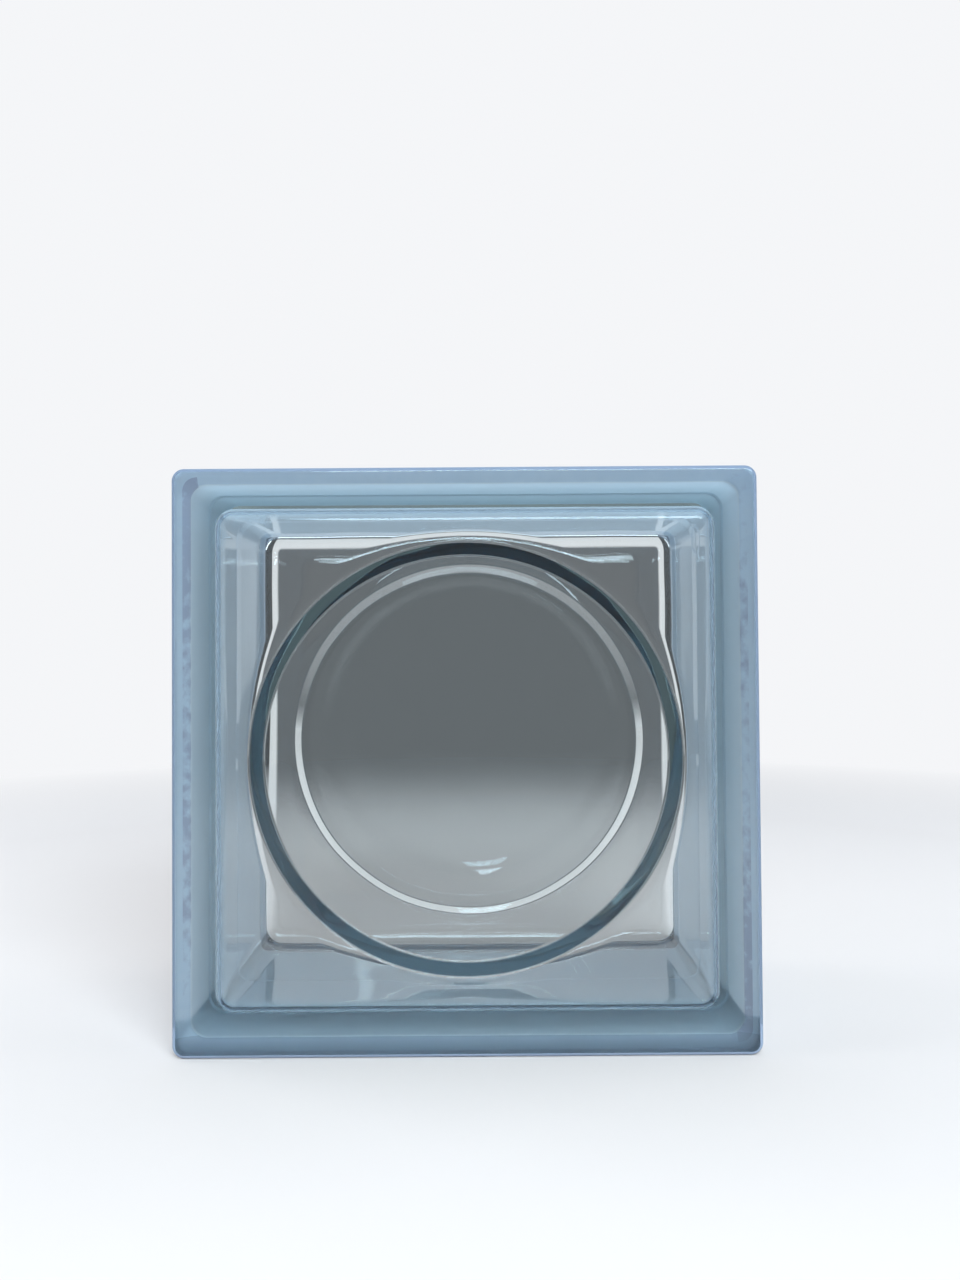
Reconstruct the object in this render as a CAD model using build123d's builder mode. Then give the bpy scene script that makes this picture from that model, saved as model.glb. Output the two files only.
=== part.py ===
"""Hollow glass block with a raised round disc pressed into the inside of each pane.

Millimetres. The block stands on its bottom mortar face: Z is up, X runs along the
front face and Y runs through the thickness, with the front pane at the lowest Y.
"""

from build123d import *

import os

# Outside of the block
block_width = 190.0
block_height = 190.0
block_thickness = 95.0
outer_corner_radius = 4.0
face_edge_radius = 1.6

# Lips at both panes, and the mortar channel between them
lip_depth = 9.5
lip_edge_bevel = 0.5
channel_depth = 4.0
channel_slope_length = 4.0
channel_corner_radius = 5.5

# Bead along the fused seam of the two half shells, outside and inside
outer_seam_width = 6.0
outer_seam_height = 1.0
outer_seam_bevel = 0.6
inner_seam_width = 5.0
inner_seam_height = 0.8

# Sealed cavity
pane_thickness = 8.0
wall_thickness = 6.5
wall_draft = 2.6
cavity_corner_radius = 8.0
cavity_edge_radius = 4.5

# Round disc on the inside of each pane
disc_radius = 67.2
disc_height = 6.2
disc_flank_run = 4.0
disc_shoulder_bevel = 0.6
disc_foot_bevel = 0.6

# Gentle swell of the pane round the foot of the disc
swell_width = 5.0
swell_height = 0.45

# Values that follow from the ones above
half_thickness = block_thickness / 2
channel_width = block_width - 2 * channel_depth
channel_height = block_height - 2 * channel_depth
channel_floor_start = lip_depth + channel_slope_length
lip_edge_start = lip_depth - lip_edge_bevel
lip_edge_end = lip_depth + lip_edge_bevel * channel_slope_length / channel_depth
cavity_width = channel_width - 2 * wall_thickness
cavity_height = channel_height - 2 * wall_thickness
half_cavity_depth = half_thickness - pane_thickness
disc_foot = disc_radius + disc_flank_run
disc_root = pane_thickness / 2
swell_foot = disc_foot + swell_width
inner_bead_radius = (inner_seam_width**2 / 4 + inner_seam_height**2) / (2 * inner_seam_height)
inner_bead_inset = inner_bead_radius - inner_seam_height
centre_line = Axis((0, 0, block_height / 2), (0, 1, 0))

os.makedirs("parts", exist_ok=True)


def depth_plane(depth):
    """The upright plane at a depth behind the front face, facing the front."""
    return Plane(
        origin=(0, depth - half_thickness, block_height / 2),
        x_dir=(1, 0, 0),
        z_dir=(0, -1, 0),
    )


# The disc as it stands on the inside of the front pane, rooted in the pane
with BuildPart() as disc:
    with BuildSketch(Plane((0, -half_cavity_depth, block_height / 2))) as profile:
        with BuildLine():
            TangentArc((swell_foot, 0), (disc_foot, swell_height), tangent=(-1, 0))
            Polyline(
                (disc_foot, swell_height),
                (disc_radius, disc_height),
                (0, disc_height),
                (0, -disc_root),
                (swell_foot, -disc_root),
                (swell_foot, 0),
            )
        make_face()
        foot_corner = profile.vertices().group_by(Axis.Y)[-2]
        chamfer(foot_corner, disc_foot_bevel)
        shoulder_corner = profile.vertices().group_by(Axis.Y)[-1].sort_by(Axis.X)[-1]
        chamfer(shoulder_corner, disc_shoulder_bevel)
    revolve(axis=centre_line)

# The closed space inside: two drafted halves that are widest at the seam
with BuildPart() as cavity:
    with BuildSketch(depth_plane(half_thickness)):
        RectangleRounded(cavity_width, cavity_height, cavity_corner_radius)
    extrude(amount=half_cavity_depth, taper=wall_draft)
    pane_edges = cavity.faces().sort_by(Axis.Y)[0].edges()
    fillet(pane_edges, cavity_edge_radius)
    add(disc.part, mode=Mode.SUBTRACT)
    mirror(about=Plane.XZ)
    # The glass pressed inwards along the seam is a low round bead
    with BuildSketch(depth_plane(half_thickness), mode=Mode.PRIVATE) as seam_outline:
        RectangleRounded(
            cavity_width + 2 * inner_bead_inset,
            cavity_height + 2 * inner_bead_inset,
            cavity_corner_radius + inner_bead_inset,
        )
    seam_path = seam_outline.face().outer_wire()
    with BuildSketch(Plane(origin=seam_path @ 0, z_dir=seam_path % 0)):
        Circle(inner_bead_radius)
    sweep(path=seam_path, mode=Mode.SUBTRACT)

# The band of glass that stands out of the channel floor along the seam
with BuildPart() as outer_seam:
    with BuildSketch(depth_plane(half_thickness)):
        RectangleRounded(
            channel_width + 2 * outer_seam_height,
            channel_height + 2 * outer_seam_height,
            channel_corner_radius + outer_seam_height,
        )
    extrude(amount=outer_seam_width / 2, both=True)
    seam_faces = outer_seam.faces().sort_by(Axis.Y)
    chamfer(seam_faces[0].edges() + seam_faces[-1].edges(), outer_seam_bevel)

# The whole block: the front half of the outside, its mirror image, and the cavity cut out
with BuildPart() as glass_block:
    with BuildSketch(depth_plane(0)):
        RectangleRounded(block_width, block_height, outer_corner_radius)
    extrude(amount=-lip_edge_start)
    with BuildSketch(depth_plane(lip_edge_start)):
        RectangleRounded(block_width, block_height, outer_corner_radius)
    with BuildSketch(depth_plane(lip_edge_end)):
        RectangleRounded(
            block_width - 2 * lip_edge_bevel,
            block_height - 2 * lip_edge_bevel,
            outer_corner_radius,
        )
    with BuildSketch(depth_plane(channel_floor_start)):
        RectangleRounded(channel_width, channel_height, channel_corner_radius)
    loft(ruled=True)
    with BuildSketch(depth_plane(channel_floor_start)):
        RectangleRounded(channel_width, channel_height, channel_corner_radius)
    extrude(amount=channel_floor_start - half_thickness)
    face_edges = glass_block.faces().sort_by(Axis.Y)[0].edges()
    fillet(face_edges, face_edge_radius)
    mirror(about=Plane.XZ)
    add(outer_seam.part)
    add(cavity.part, mode=Mode.SUBTRACT)

glass_block.part.label = "glass_block"
export_step(glass_block.part, "parts/glass_block.step")
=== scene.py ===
from math import atan2, cos, pi, radians, sin, tan

import bmesh
import bpy
from mathutils import Matrix, Vector


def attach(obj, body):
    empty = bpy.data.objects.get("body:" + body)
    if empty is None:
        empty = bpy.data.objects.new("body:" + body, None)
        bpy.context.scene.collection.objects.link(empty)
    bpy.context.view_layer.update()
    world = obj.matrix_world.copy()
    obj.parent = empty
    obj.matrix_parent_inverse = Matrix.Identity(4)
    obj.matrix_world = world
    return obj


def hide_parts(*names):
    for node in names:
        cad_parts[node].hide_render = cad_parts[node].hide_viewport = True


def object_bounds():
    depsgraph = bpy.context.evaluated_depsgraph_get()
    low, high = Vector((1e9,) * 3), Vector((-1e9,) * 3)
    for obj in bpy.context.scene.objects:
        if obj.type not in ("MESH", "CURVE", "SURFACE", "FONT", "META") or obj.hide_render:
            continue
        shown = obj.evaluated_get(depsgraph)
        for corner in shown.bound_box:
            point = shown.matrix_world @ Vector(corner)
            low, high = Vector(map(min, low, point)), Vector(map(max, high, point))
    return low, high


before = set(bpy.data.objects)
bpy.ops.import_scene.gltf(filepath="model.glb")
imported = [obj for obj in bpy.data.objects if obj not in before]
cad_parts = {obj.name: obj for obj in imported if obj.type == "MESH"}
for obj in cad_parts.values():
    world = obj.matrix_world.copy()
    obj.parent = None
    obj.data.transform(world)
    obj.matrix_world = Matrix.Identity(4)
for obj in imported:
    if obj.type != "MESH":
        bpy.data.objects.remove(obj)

cad_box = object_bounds()
low, high = Vector(cad_box[0]), Vector(cad_box[1])
scene = bpy.context.scene

# The glass block: a hollow square block of clear pressed glass. Two half shells are pressed
# with a plunger, so each has a drafted inside and a raised round disc on its pane, and then
# they are fused mouth to mouth, which leaves a low bead inside and a band outside.
front_y = low.y
half_depth = -front_y
centre_z = (low.z + high.z) / 2
block_width = high.x - low.x
block_height = high.z - low.z
corner_radius = 0.004
corner_steps = 10
fillet_steps = 8
small_fillet_steps = 4
join_distance = 1e-6
pole_distance = 1e-7

face_edge_radius = 0.0016
lip_depth = 0.0095
channel_depth = 0.004
channel_slope = 0.004
channel_corner_radius = 0.0055
lip_edge_radius = 0.0008
channel_foot_radius = 0.0012
coat_start = 0.00005
band_width = 0.006
band_height = 0.001
band_slope = 0.0004
band_edge_radius = 0.0006

pane_thickness = 0.008
wall_thickness = 0.0065
wall_draft = radians(2.6)
cavity_corner_radius = 0.008
cavity_edge_radius = 0.0045
cavity_edge_steps = 12
bead_width = 0.005
bead_height = 0.0008
flat_margin = 0.0003

disc_radius = 0.0672
disc_height = 0.0062
disc_flank_run = 0.004
disc_shoulder_radius = 0.001
disc_foot_radius = 0.0012
disc_steps = 256
swell_width = 0.005
swell_height = 0.00045
swell_steps = 8


def outline(bm, depth, inset, radius):
    """A rounded square face that stands at a depth behind the front of the block."""
    corners = bmesh.ops.create_grid(bm, x_segments=1, y_segments=1, size=0.5)["verts"]
    stand = Matrix.Translation((0, front_y + depth, centre_z)) @ Matrix.Rotation(pi / 2, 4, "X")
    size = Matrix.Diagonal((block_width - 2 * inset, block_height - 2 * inset, 1, 1))
    bmesh.ops.transform(bm, matrix=stand @ size, verts=corners)
    bmesh.ops.bevel(
        bm, geom=corners, offset=radius, offset_type="OFFSET", segments=corner_steps,
        profile=0.5, affect="VERTICES", material=-1,
    )
    bm.faces.ensure_lookup_table()
    return bm.faces[-1]


def loft(bm, sections):
    """Walls that join outlines, in order. Returns the edges of each outline."""
    loops = []
    for section in sections:
        face = outline(bm, *section)
        loops.append(face.edges[:])
        bmesh.ops.delete(bm, geom=[face], context="FACES_ONLY")
    for near, far in zip(loops, loops[1:]):
        bmesh.ops.bridge_loops(bm, edges=near + far)
    return loops


def round_edges(bm, edges, offset, steps=small_fillet_steps):
    bmesh.ops.bevel(
        bm, geom=edges, offset=offset, offset_type="OFFSET", segments=steps,
        profile=0.5, affect="EDGES", clamp_overlap=False, material=-1,
    )


def double_up(bm):
    """Adds the rear half as a mirror image of the front half, merged at the seam."""
    bmesh.ops.mirror(
        bm, geom=bm.verts[:] + bm.edges[:] + bm.faces[:], merge_dist=join_distance, axis="Y",
    )
    bmesh.ops.remove_doubles(bm, verts=bm.verts, dist=join_distance)
    bmesh.ops.recalc_face_normals(bm, faces=bm.faces)


skin = bmesh.new()
band_start = half_depth - band_width / 2
band_inset = channel_depth - band_height
face_loop, lip_loop, foot_loop, _, band_loop, _ = loft(skin, [
    (0, 0, corner_radius),
    (lip_depth, 0, corner_radius),
    (lip_depth + channel_slope, channel_depth, channel_corner_radius),
    (band_start, channel_depth, channel_corner_radius),
    (band_start + band_slope, band_inset, channel_corner_radius + band_height),
    (half_depth, band_inset, channel_corner_radius + band_height),
])
bmesh.ops.contextual_create(skin, geom=face_loop)
round_edges(skin, face_loop, face_edge_radius, fillet_steps)
round_edges(skin, lip_loop, lip_edge_radius)
round_edges(skin, foot_loop, channel_foot_radius)
round_edges(skin, band_loop, band_edge_radius)
coated_layer = skin.faces.layers.float.new("coated")
for face in skin.faces:
    if face.calc_center_median().y > front_y + coat_start:
        face[coated_layer] = 1
double_up(skin)

# The disc's profile is spun round the middle of the pane
hollow = bmesh.new()
pane_y = front_y + pane_thickness
disc_foot = disc_radius + disc_flank_run
swell_foot = disc_foot + swell_width
flank_angle = atan2(disc_height - swell_height, disc_flank_run)
swell_angle = 2 * atan2(swell_height, swell_width)
swell_radius = swell_width / sin(swell_angle)
shoulder_offset = disc_shoulder_radius * tan(flank_angle / 2)
foot_offset = disc_foot_radius * tan((flank_angle - swell_angle) / 2)
points = [(0, disc_height), (disc_radius, disc_height)]
for step in range(swell_steps, -1, -1):
    angle = swell_angle * step / swell_steps
    points.append((swell_foot - swell_radius * sin(angle), swell_radius * (1 - cos(angle))))
points.append((swell_foot + flat_margin, 0))
disc_profile = [hollow.verts.new((along, pane_y + rise, centre_z)) for along, rise in points]
for start, end in zip(disc_profile, disc_profile[1:]):
    hollow.edges.new((start, end))
for corner, offset in ((disc_profile[1], shoulder_offset), (disc_profile[2], foot_offset)):
    bmesh.ops.bevel(
        hollow, geom=[corner], offset=offset, offset_type="OFFSET", segments=fillet_steps,
        profile=0.5, affect="VERTICES", material=-1,
    )
bmesh.ops.spin(
    hollow, geom=hollow.verts[:] + hollow.edges[:], cent=(0, 0, centre_z), axis=(0, 1, 0),
    angle=2 * pi, steps=disc_steps, use_merge=True,
)
bmesh.ops.remove_doubles(hollow, verts=hollow.verts, dist=pole_distance)
rim_loop = [edge for edge in hollow.edges if edge.is_boundary]

# The cavity's walls, and the flat of the pane between them and the disc
draft_inset = tan(wall_draft)
wall_inset = channel_depth + wall_thickness
pane_inset = wall_inset + (half_depth - pane_thickness) * draft_inset
pane_corner = cavity_corner_radius - (pane_inset - wall_inset)
bead_start = half_depth - bead_width / 2
bead_inset = wall_inset + bead_width / 2 * draft_inset
hold_inset = cavity_edge_radius + flat_margin
pane_loop, _, _ = loft(hollow, [
    (pane_thickness, pane_inset, pane_corner),
    (bead_start, bead_inset, cavity_corner_radius),
    (half_depth, bead_inset + bead_height, cavity_corner_radius),
])
pane = bmesh.ops.contextual_create(hollow, geom=pane_loop)["faces"]
bmesh.ops.inset_region(hollow, faces=pane, thickness=hold_inset, use_even_offset=True)
hold_loop = pane[0].edges[:]
bmesh.ops.delete(hollow, geom=pane, context="FACES_ONLY")
bmesh.ops.triangle_fill(hollow, use_beauty=True, edges=hold_loop + rim_loop)
round_edges(hollow, pane_loop, cavity_edge_radius, cavity_edge_steps)
double_up(hollow)
bmesh.ops.reverse_faces(hollow, faces=hollow.faces)
pressed_layer = hollow.faces.layers.float.new("pressed")
for face in hollow.faces:
    face[pressed_layer] = 1

block_mesh = bpy.data.meshes.new("pressed_glass_block")
hollow_mesh = bpy.data.meshes.new("hollow")
hollow.to_mesh(hollow_mesh)
skin.from_mesh(hollow_mesh)
skin.to_mesh(block_mesh)
bpy.data.meshes.remove(hollow_mesh)
for polygon in block_mesh.polygons:
    polygon.use_smooth = True
block = bpy.data.objects.new("pressed_glass_block", block_mesh)
scene.collection.objects.link(block)
even = block.modifiers.new("even_normals", "WEIGHTED_NORMAL")
even.mode = "FACE_AREA"
even.weight = 100
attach(block, "root")
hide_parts("glass_block")

# Clear glass with a tint by depth, and the cloudy coating on the four mortar faces
glass_index = 1.52
clear_colour = (0.99, 0.995, 0.995)
tint_colour = (0.675, 0.75, 0.765, 1)
tint_density = 40
coat_roughness = 0.6
lip_colours = (0.6, 0.745, 0.9), (0.69, 0.815, 0.94)
# The coat in the channel is paler than on the lips: painted light, which lifts the walls seen
# through the glass.
channel_painted_light_colours = (0.75, 0.87, 0.985), (0.82, 0.915, 0.995)
tone_range = 0.2, 0.85
cloud_grain = 18, 3
cloud_weight = 0.7
stroke_grain = 1, 2, (330, 12, 330)
stroke_weight = 0.5
stroke_overrun = 0.0015
glass = bpy.data.materials.new("pressed_glass_with_coating")
glass.use_nodes = True
nodes = glass.node_tree.nodes
link = glass.node_tree.links.new
shader = nodes["Principled BSDF"]
surface_out = nodes["Material Output"]
shader.inputs["IOR"].default_value = glass_index

place = nodes.new("ShaderNodeTexCoord")
coated = nodes.new("ShaderNodeAttribute")
coated.attribute_name = "coated"
pressed = nodes.new("ShaderNodeAttribute")
pressed.attribute_name = "pressed"


def join(value, socket):
    """Links a socket's value, or sets a number or a colour."""
    if hasattr(value, "links"):
        link(value, socket)
    elif isinstance(value, tuple):
        socket.default_value = (*value, 1)
    else:
        socket.default_value = value


def calculate(operation, first, second):
    node = nodes.new("ShaderNodeMath")
    node.operation = operation
    join(first, node.inputs[0])
    join(second, node.inputs[1])
    return node.outputs[0]


def multiply(first, *others):
    for other in others:
        first = calculate("MULTIPLY", first, other)
    return first


def distance(first, second):
    return calculate("ABSOLUTE", calculate("SUBTRACT", first, second), 0)


def noise(scale, detail, stretch=(1, 1, 1)):
    mapping = nodes.new("ShaderNodeMapping")
    mapping.inputs["Scale"].default_value = stretch
    link(place.outputs["Object"], mapping.inputs["Vector"])
    node = nodes.new("ShaderNodeTexNoise")
    node.inputs["Scale"].default_value = scale
    node.inputs["Detail"].default_value = detail
    link(mapping.outputs[0], node.inputs["Vector"])
    return node.outputs["Fac"]


def blend(share, first, second):
    """A colour between two others, by a share."""
    node = nodes.new("ShaderNodeMix")
    node.data_type = "RGBA"
    link(share, node.inputs["Factor"])
    join(first, node.inputs[6])
    join(second, node.inputs[7])
    return node.outputs[2]


def ramp(value, start, end, first, last):
    """A colour that goes from first to last while the value goes from start to end."""
    spread = nodes.new("ShaderNodeMapRange")
    spread.inputs["From Min"].default_value = start
    spread.inputs["From Max"].default_value = end
    link(value, spread.inputs["Value"])
    return blend(spread.outputs[0], first, last)


def fade(value, start, end, first, last):
    """A share that goes from first to last while the value goes from start to end."""
    return ramp(value, start, end, (first,) * 3, (last,) * 3)


mask = coated.outputs["Fac"]
apart = nodes.new("ShaderNodeSeparateXYZ")
link(place.outputs["Object"], apart.inputs[0])
across, above = apart.outputs["X"], apart.outputs["Z"]
from_seam = calculate("ABSOLUTE", apart.outputs["Y"], 0)
slope_top = half_depth - lip_depth
slope_foot = slope_top - channel_slope
past_foot = calculate("GREATER_THAN", from_seam, slope_foot - stroke_overrun)
on_slope = multiply(past_foot, calculate("LESS_THAN", from_seam, slope_top))
clouds = noise(*cloud_grain)
strokes = noise(*stroke_grain)
tone = calculate(
    "ADD", multiply(clouds, cloud_weight), multiply(strokes, on_slope, stroke_weight),
)
lip_milk = ramp(tone, *tone_range, *lip_colours)
# Painted light: the channel's paler coat stands in for light that the walls lack.
channel_milk = ramp(tone, *tone_range, *channel_painted_light_colours)
in_channel = calculate("LESS_THAN", from_seam, slope_foot)
milk = blend(in_channel, lip_milk, channel_milk)

# Thin places of the coating near the channel's foot, at the left and right sides only
thin_offset = 0.001
thin_reach = 0.0014
side_start = 0.0885
speck_grain = 260, 3
patch_grain = 16, 0
spot_range = 0.2, 0.34
spot_strength = 0.75
thin_colour = (0.4, 0.45, 0.6)
near_foot = calculate("LESS_THAN", distance(from_seam, slope_foot + thin_offset), thin_reach)
on_sides = calculate("GREATER_THAN", calculate("ABSOLUTE", across, 0), side_start)
thin_spots = multiply(noise(*speck_grain), noise(*patch_grain))
spot_share = fade(thin_spots, *spot_range, 0, spot_strength)
milk = blend(multiply(near_foot, on_sides, spot_share), milk, thin_colour)

# The coating is darker on the rounded edge of the face, and painted darker where the lips
# meet the floor: painted shade of the floor contact.
edge_end = half_depth - 0.001
edge_share = 0.85
edge_colour = (0.22, 0.27, 0.38)
foot_top = 0.0045
foot_range = 0.0005, 0.004
foot_least = 0.4
floor_contact_shade_colour = (0.25, 0.33, 0.43)
round_edge = fade(from_seam, half_depth - face_edge_radius, edge_end, 0, 1)
milk = blend(multiply(round_edge, edge_share), milk, edge_colour)
# Painted shade: the coat darkens towards the floor where the lips stand on it.
floor_contact_shade_share = fade(above, *foot_range, 1, foot_least)
at_foot = calculate("LESS_THAN", above, foot_top)
on_lip = calculate("SUBTRACT", 1, in_channel)
off_edge = calculate("SUBTRACT", 1, round_edge)
coat_colour = blend(multiply(at_foot, on_lip, floor_contact_shade_share, off_edge), milk, floor_contact_shade_colour)
link(blend(mask, clear_colour, coat_colour), shader.inputs["Base Color"])
link(calculate("SUBTRACT", 1, mask), shader.inputs["Transmission Weight"])
link(multiply(mask, coat_roughness), shader.inputs["Roughness"])

# Soft waves of the pressed inside, fainter outside, and a round mark on the right-hand wall
bump_depth = 0.0002
wave_grain = 28, 1
outside_waves = 0.1
mark_centre = (high.x - wall_inset, -0.005, 0.1705)
mark_radius = 0.0055
mark_line = 0.001
mark_strength = 2
wave_share = calculate("ADD", multiply(pressed.outputs["Fac"], 1 - outside_waves), outside_waves)
wave_height = multiply(noise(*wave_grain), wave_share)
off_mark = nodes.new("ShaderNodeVectorMath")
off_mark.operation = "DISTANCE"
link(place.outputs["Object"], off_mark.inputs[0])
off_mark.inputs[1].default_value = mark_centre
off_line = calculate("DIVIDE", distance(off_mark.outputs["Value"], mark_radius), mark_line)
mark_ring = calculate("MAXIMUM", calculate("SUBTRACT", 1, off_line), 0)
bump = nodes.new("ShaderNodeBump")
bump.inputs["Strength"].default_value = 1
bump.inputs["Distance"].default_value = bump_depth
link(calculate("ADD", wave_height, multiply(mark_ring, mark_strength)), bump.inputs["Height"])
link(bump.outputs[0], shader.inputs["Normal"])

# The coating lets a share of the light through, except close to the floor
glow_share = 0.4
glow_start = 0.01
glow = nodes.new("ShaderNodeBsdfTranslucent")
link(coat_colour, glow.inputs["Color"])
surface = nodes.new("ShaderNodeMixShader")
off_floor = calculate("GREATER_THAN", above, glow_start)
link(multiply(mask, off_floor, glow_share), surface.inputs[0])
link(shader.outputs[0], surface.inputs[1])
link(glow.outputs[0], surface.inputs[2])
link(surface.outputs[0], surface_out.inputs["Surface"])
depth_tint = nodes.new("ShaderNodeVolumeAbsorption")
depth_tint.inputs["Color"].default_value = tint_colour
depth_tint.inputs["Density"].default_value = tint_density
link(depth_tint.outputs[0], surface_out.inputs["Volume"])
block_mesh.materials.append(glass)

# Floor and backdrop: one round cove of pale matt paper, lit by the lamps near the block, and
# painted paler away from the block to make up for the lamps' falloff. Far off it is an even
# white, with a plain grey card in line behind the block, dark flags beyond both sides of the
# picture, and grey paper behind the camera. The floor in line behind the block is grey and
# painted darker with distance: painted shade.
cove_radius = 6
cove_height = 6
cove_bend = 2
cove_bend_steps = 24
cove_steps = 96
floor_gap = 0.00005
paper_roughness = 0.9
paper_shine = 0.1
# The grey floor in line behind the block darkens with distance: painted shade.
shaded_floor_colours = (0.58, 0.52, 0.49), (0.18, 0.165, 0.16)
# The pale floor's colours get paler with distance: painted light against the lamps' falloff.
pale_floor_painted_light_colours = (0.76, 0.67, 0.63), (0.86, 0.78, 0.75)
wall_colour = (0.91, 0.92, 0.94)
card_colour = (0.13, 0.14, 0.15)
lens_y = -0.35
block_depth_range = -0.04, 0.04
shaded_floor_reach = 0.15, 0.7
pale_floor_reach = 0.15, 0.8
even_white_reach = 0.45, 0.85
card_side = radians(12.5), radians(16)
card_top = 0.87, 1.3
flag_side = radians(28.5), radians(30)
flag_strength = 0.06
top_range = 5.4, 5.8
top_strength = 0.15
rear_side = radians(110), radians(140)
rear_strength = 0.45
cove = bmesh.new()
cove_profile = [cove.verts.new(point) for point in (
    (0, 0, -floor_gap), (cove_radius, 0, -floor_gap), (cove_radius, 0, cove_height),
)]
for start, end in zip(cove_profile, cove_profile[1:]):
    cove.edges.new((start, end))
bmesh.ops.bevel(
    cove, geom=[cove_profile[1]], offset=cove_bend, offset_type="OFFSET",
    segments=cove_bend_steps, profile=0.5, affect="VERTICES", material=-1,
)
bmesh.ops.spin(
    cove, geom=cove.verts[:] + cove.edges[:], cent=(0, 0, 0), axis=(0, 0, 1),
    angle=2 * pi, steps=cove_steps, use_merge=True,
)
bmesh.ops.remove_doubles(cove, verts=cove.verts, dist=join_distance)
bmesh.ops.recalc_face_normals(cove, faces=cove.faces)
floor_mesh = bpy.data.meshes.new("floor")
cove.to_mesh(floor_mesh)
for polygon in floor_mesh.polygons:
    polygon.use_smooth = True
floor = bpy.data.objects.new("floor", floor_mesh)
scene.collection.objects.link(floor)

pale = bpy.data.materials.new("pale_floor")
pale.use_nodes = True
nodes = pale.node_tree.nodes
link = pale.node_tree.links.new
paper = nodes["Principled BSDF"]
paper.inputs["Roughness"].default_value = paper_roughness
paper.inputs["Specular IOR Level"].default_value = paper_shine
place = nodes.new("ShaderNodeTexCoord")
reach = nodes.new("ShaderNodeVectorMath")
reach.operation = "LENGTH"
link(place.outputs["Object"], reach.inputs[0])
from_block = reach.outputs["Value"]
apart = nodes.new("ShaderNodeSeparateXYZ")
link(place.outputs["Object"], apart.inputs[0])
sideways = calculate("ABSOLUTE", apart.outputs["X"], 0)
onwards = calculate("SUBTRACT", apart.outputs["Y"], lens_y)
from_lens = calculate("ARCTAN2", sideways, onwards)
past_block = fade(apart.outputs["Y"], *block_depth_range, 0, 1)
behind = multiply(past_block, fade(from_lens, *card_side, 1, 0))
on_card = multiply(behind, fade(apart.outputs["Z"], *card_top, 1, 0))
# Painted shade: the floor in line behind the block darkens with distance.
shaded_floor = ramp(from_block, *shaded_floor_reach, *shaded_floor_colours)
# Painted light: the pale floor gets paler away from the block, against the lamps' falloff.
pale_floor = ramp(from_block, *pale_floor_reach, *pale_floor_painted_light_colours)
link(blend(behind, pale_floor, shaded_floor), paper.inputs["Base Color"])
ahead_tone = multiply(
    fade(from_lens, *flag_side, 1, flag_strength),
    fade(apart.outputs["Z"], *top_range, 1, top_strength),
)
rear_tone = fade(from_lens, *rear_side, 0, rear_strength)
wall = nodes.new("ShaderNodeEmission")
link(blend(on_card, wall_colour, card_colour), wall.inputs["Color"])
link(calculate("ADD", ahead_tone, rear_tone), wall.inputs["Strength"])
rays = nodes.new("ShaderNodeLightPath")
seen = calculate("MAXIMUM", rays.outputs["Is Camera Ray"], rays.outputs["Is Glossy Ray"])
seen = calculate("MAXIMUM", seen, rays.outputs["Is Transmission Ray"])
cover = nodes.new("ShaderNodeMixShader")
link(multiply(seen, fade(from_block, *even_white_reach, 0, 1)), cover.inputs[0])
link(paper.outputs[0], cover.inputs[1])
link(wall.outputs[0], cover.inputs[2])
link(cover.outputs[0], nodes["Material Output"].inputs["Surface"])
floor_mesh.materials.append(pale)

# Light: a broad cool lamp high in front, a weak one overhead and one at each side, all soft
# boxes, with a dim blue-grey sky that fills the shadows.
sky_colour = (0.42, 0.5, 0.6, 1)
sky_strength = 0.2
world = bpy.data.worlds.new("studio")
scene.world = world
world.use_nodes = True
background = world.node_tree.nodes["Background"]
background.inputs["Color"].default_value = sky_colour
background.inputs["Strength"].default_value = sky_strength


def softbox(name, spot, aim, width, height, power, colour):
    data = bpy.data.lights.new(name, "AREA")
    data.shape = "RECTANGLE"
    data.size = width
    data.size_y = height
    data.energy = power
    data.color = colour
    lamp = bpy.data.objects.new(name, data)
    facing = (Vector(aim) - Vector(spot)).to_track_quat("-Z", "Y").to_matrix().to_4x4()
    lamp.matrix_world = Matrix.Translation(spot) @ facing
    scene.collection.objects.link(lamp)


softbox("sky_front", (0.29, -1.24, 1.07), (0, 0, 0.1), 1.3, 0.7, 38, (0.74, 0.9, 1))
softbox("overhead", (0, 0.25, 1.2), (0, 0.05, 0), 1.0, 0.8, 6, (0.8, 0.91, 1))
softbox("left_side", (-1.1, 0.1, 0.75), (0, 0, 0.1), 0.9, 0.6, 7, (0.86, 0.94, 1))
softbox("right_side", (1.1, 0.1, 0.75), (0, 0, 0.1), 0.9, 0.6, 4, (0.86, 0.94, 1))

# Camera: close in front of the block, a little above its middle and almost level, with a
# phone's wide lens, so that the cavity's rear edge looks clearly smaller than its front edge.
sensor_width = 36
lens_length = 26.3
nearest_view = 0.01
camera_side = 0.0047
camera_distance = 0.3015
camera_rise = 0.0335
pitch, yaw, roll = radians(1.0), radians(0.02), radians(0.392)
camera_data = bpy.data.cameras.new("camera")
camera_data.sensor_width = sensor_width
camera_data.lens = lens_length
camera_data.clip_start = nearest_view
camera = bpy.data.objects.new("camera", camera_data)
scene.collection.objects.link(camera)
view = Vector((sin(yaw) * cos(pitch), cos(yaw) * cos(pitch), sin(pitch)))
side = view.cross(Vector((0, 0, 1))).normalized()
over = side.cross(view)
turned_side = side * cos(roll) - over * sin(roll)
turned_over = over * cos(roll) + side * sin(roll)
turn = Matrix((turned_side, turned_over, -view)).transposed().to_4x4()
eye = (camera_side, front_y - camera_distance, centre_z + camera_rise)
camera.matrix_world = Matrix.Translation(eye) @ turn
scene.camera = camera
scene.view_settings.view_transform = "Standard"
scene.cycles.max_bounces = 20
scene.cycles.transmission_bounces = 20
scene.cycles.glossy_bounces = 16
scene.cycles.diffuse_bounces = 4
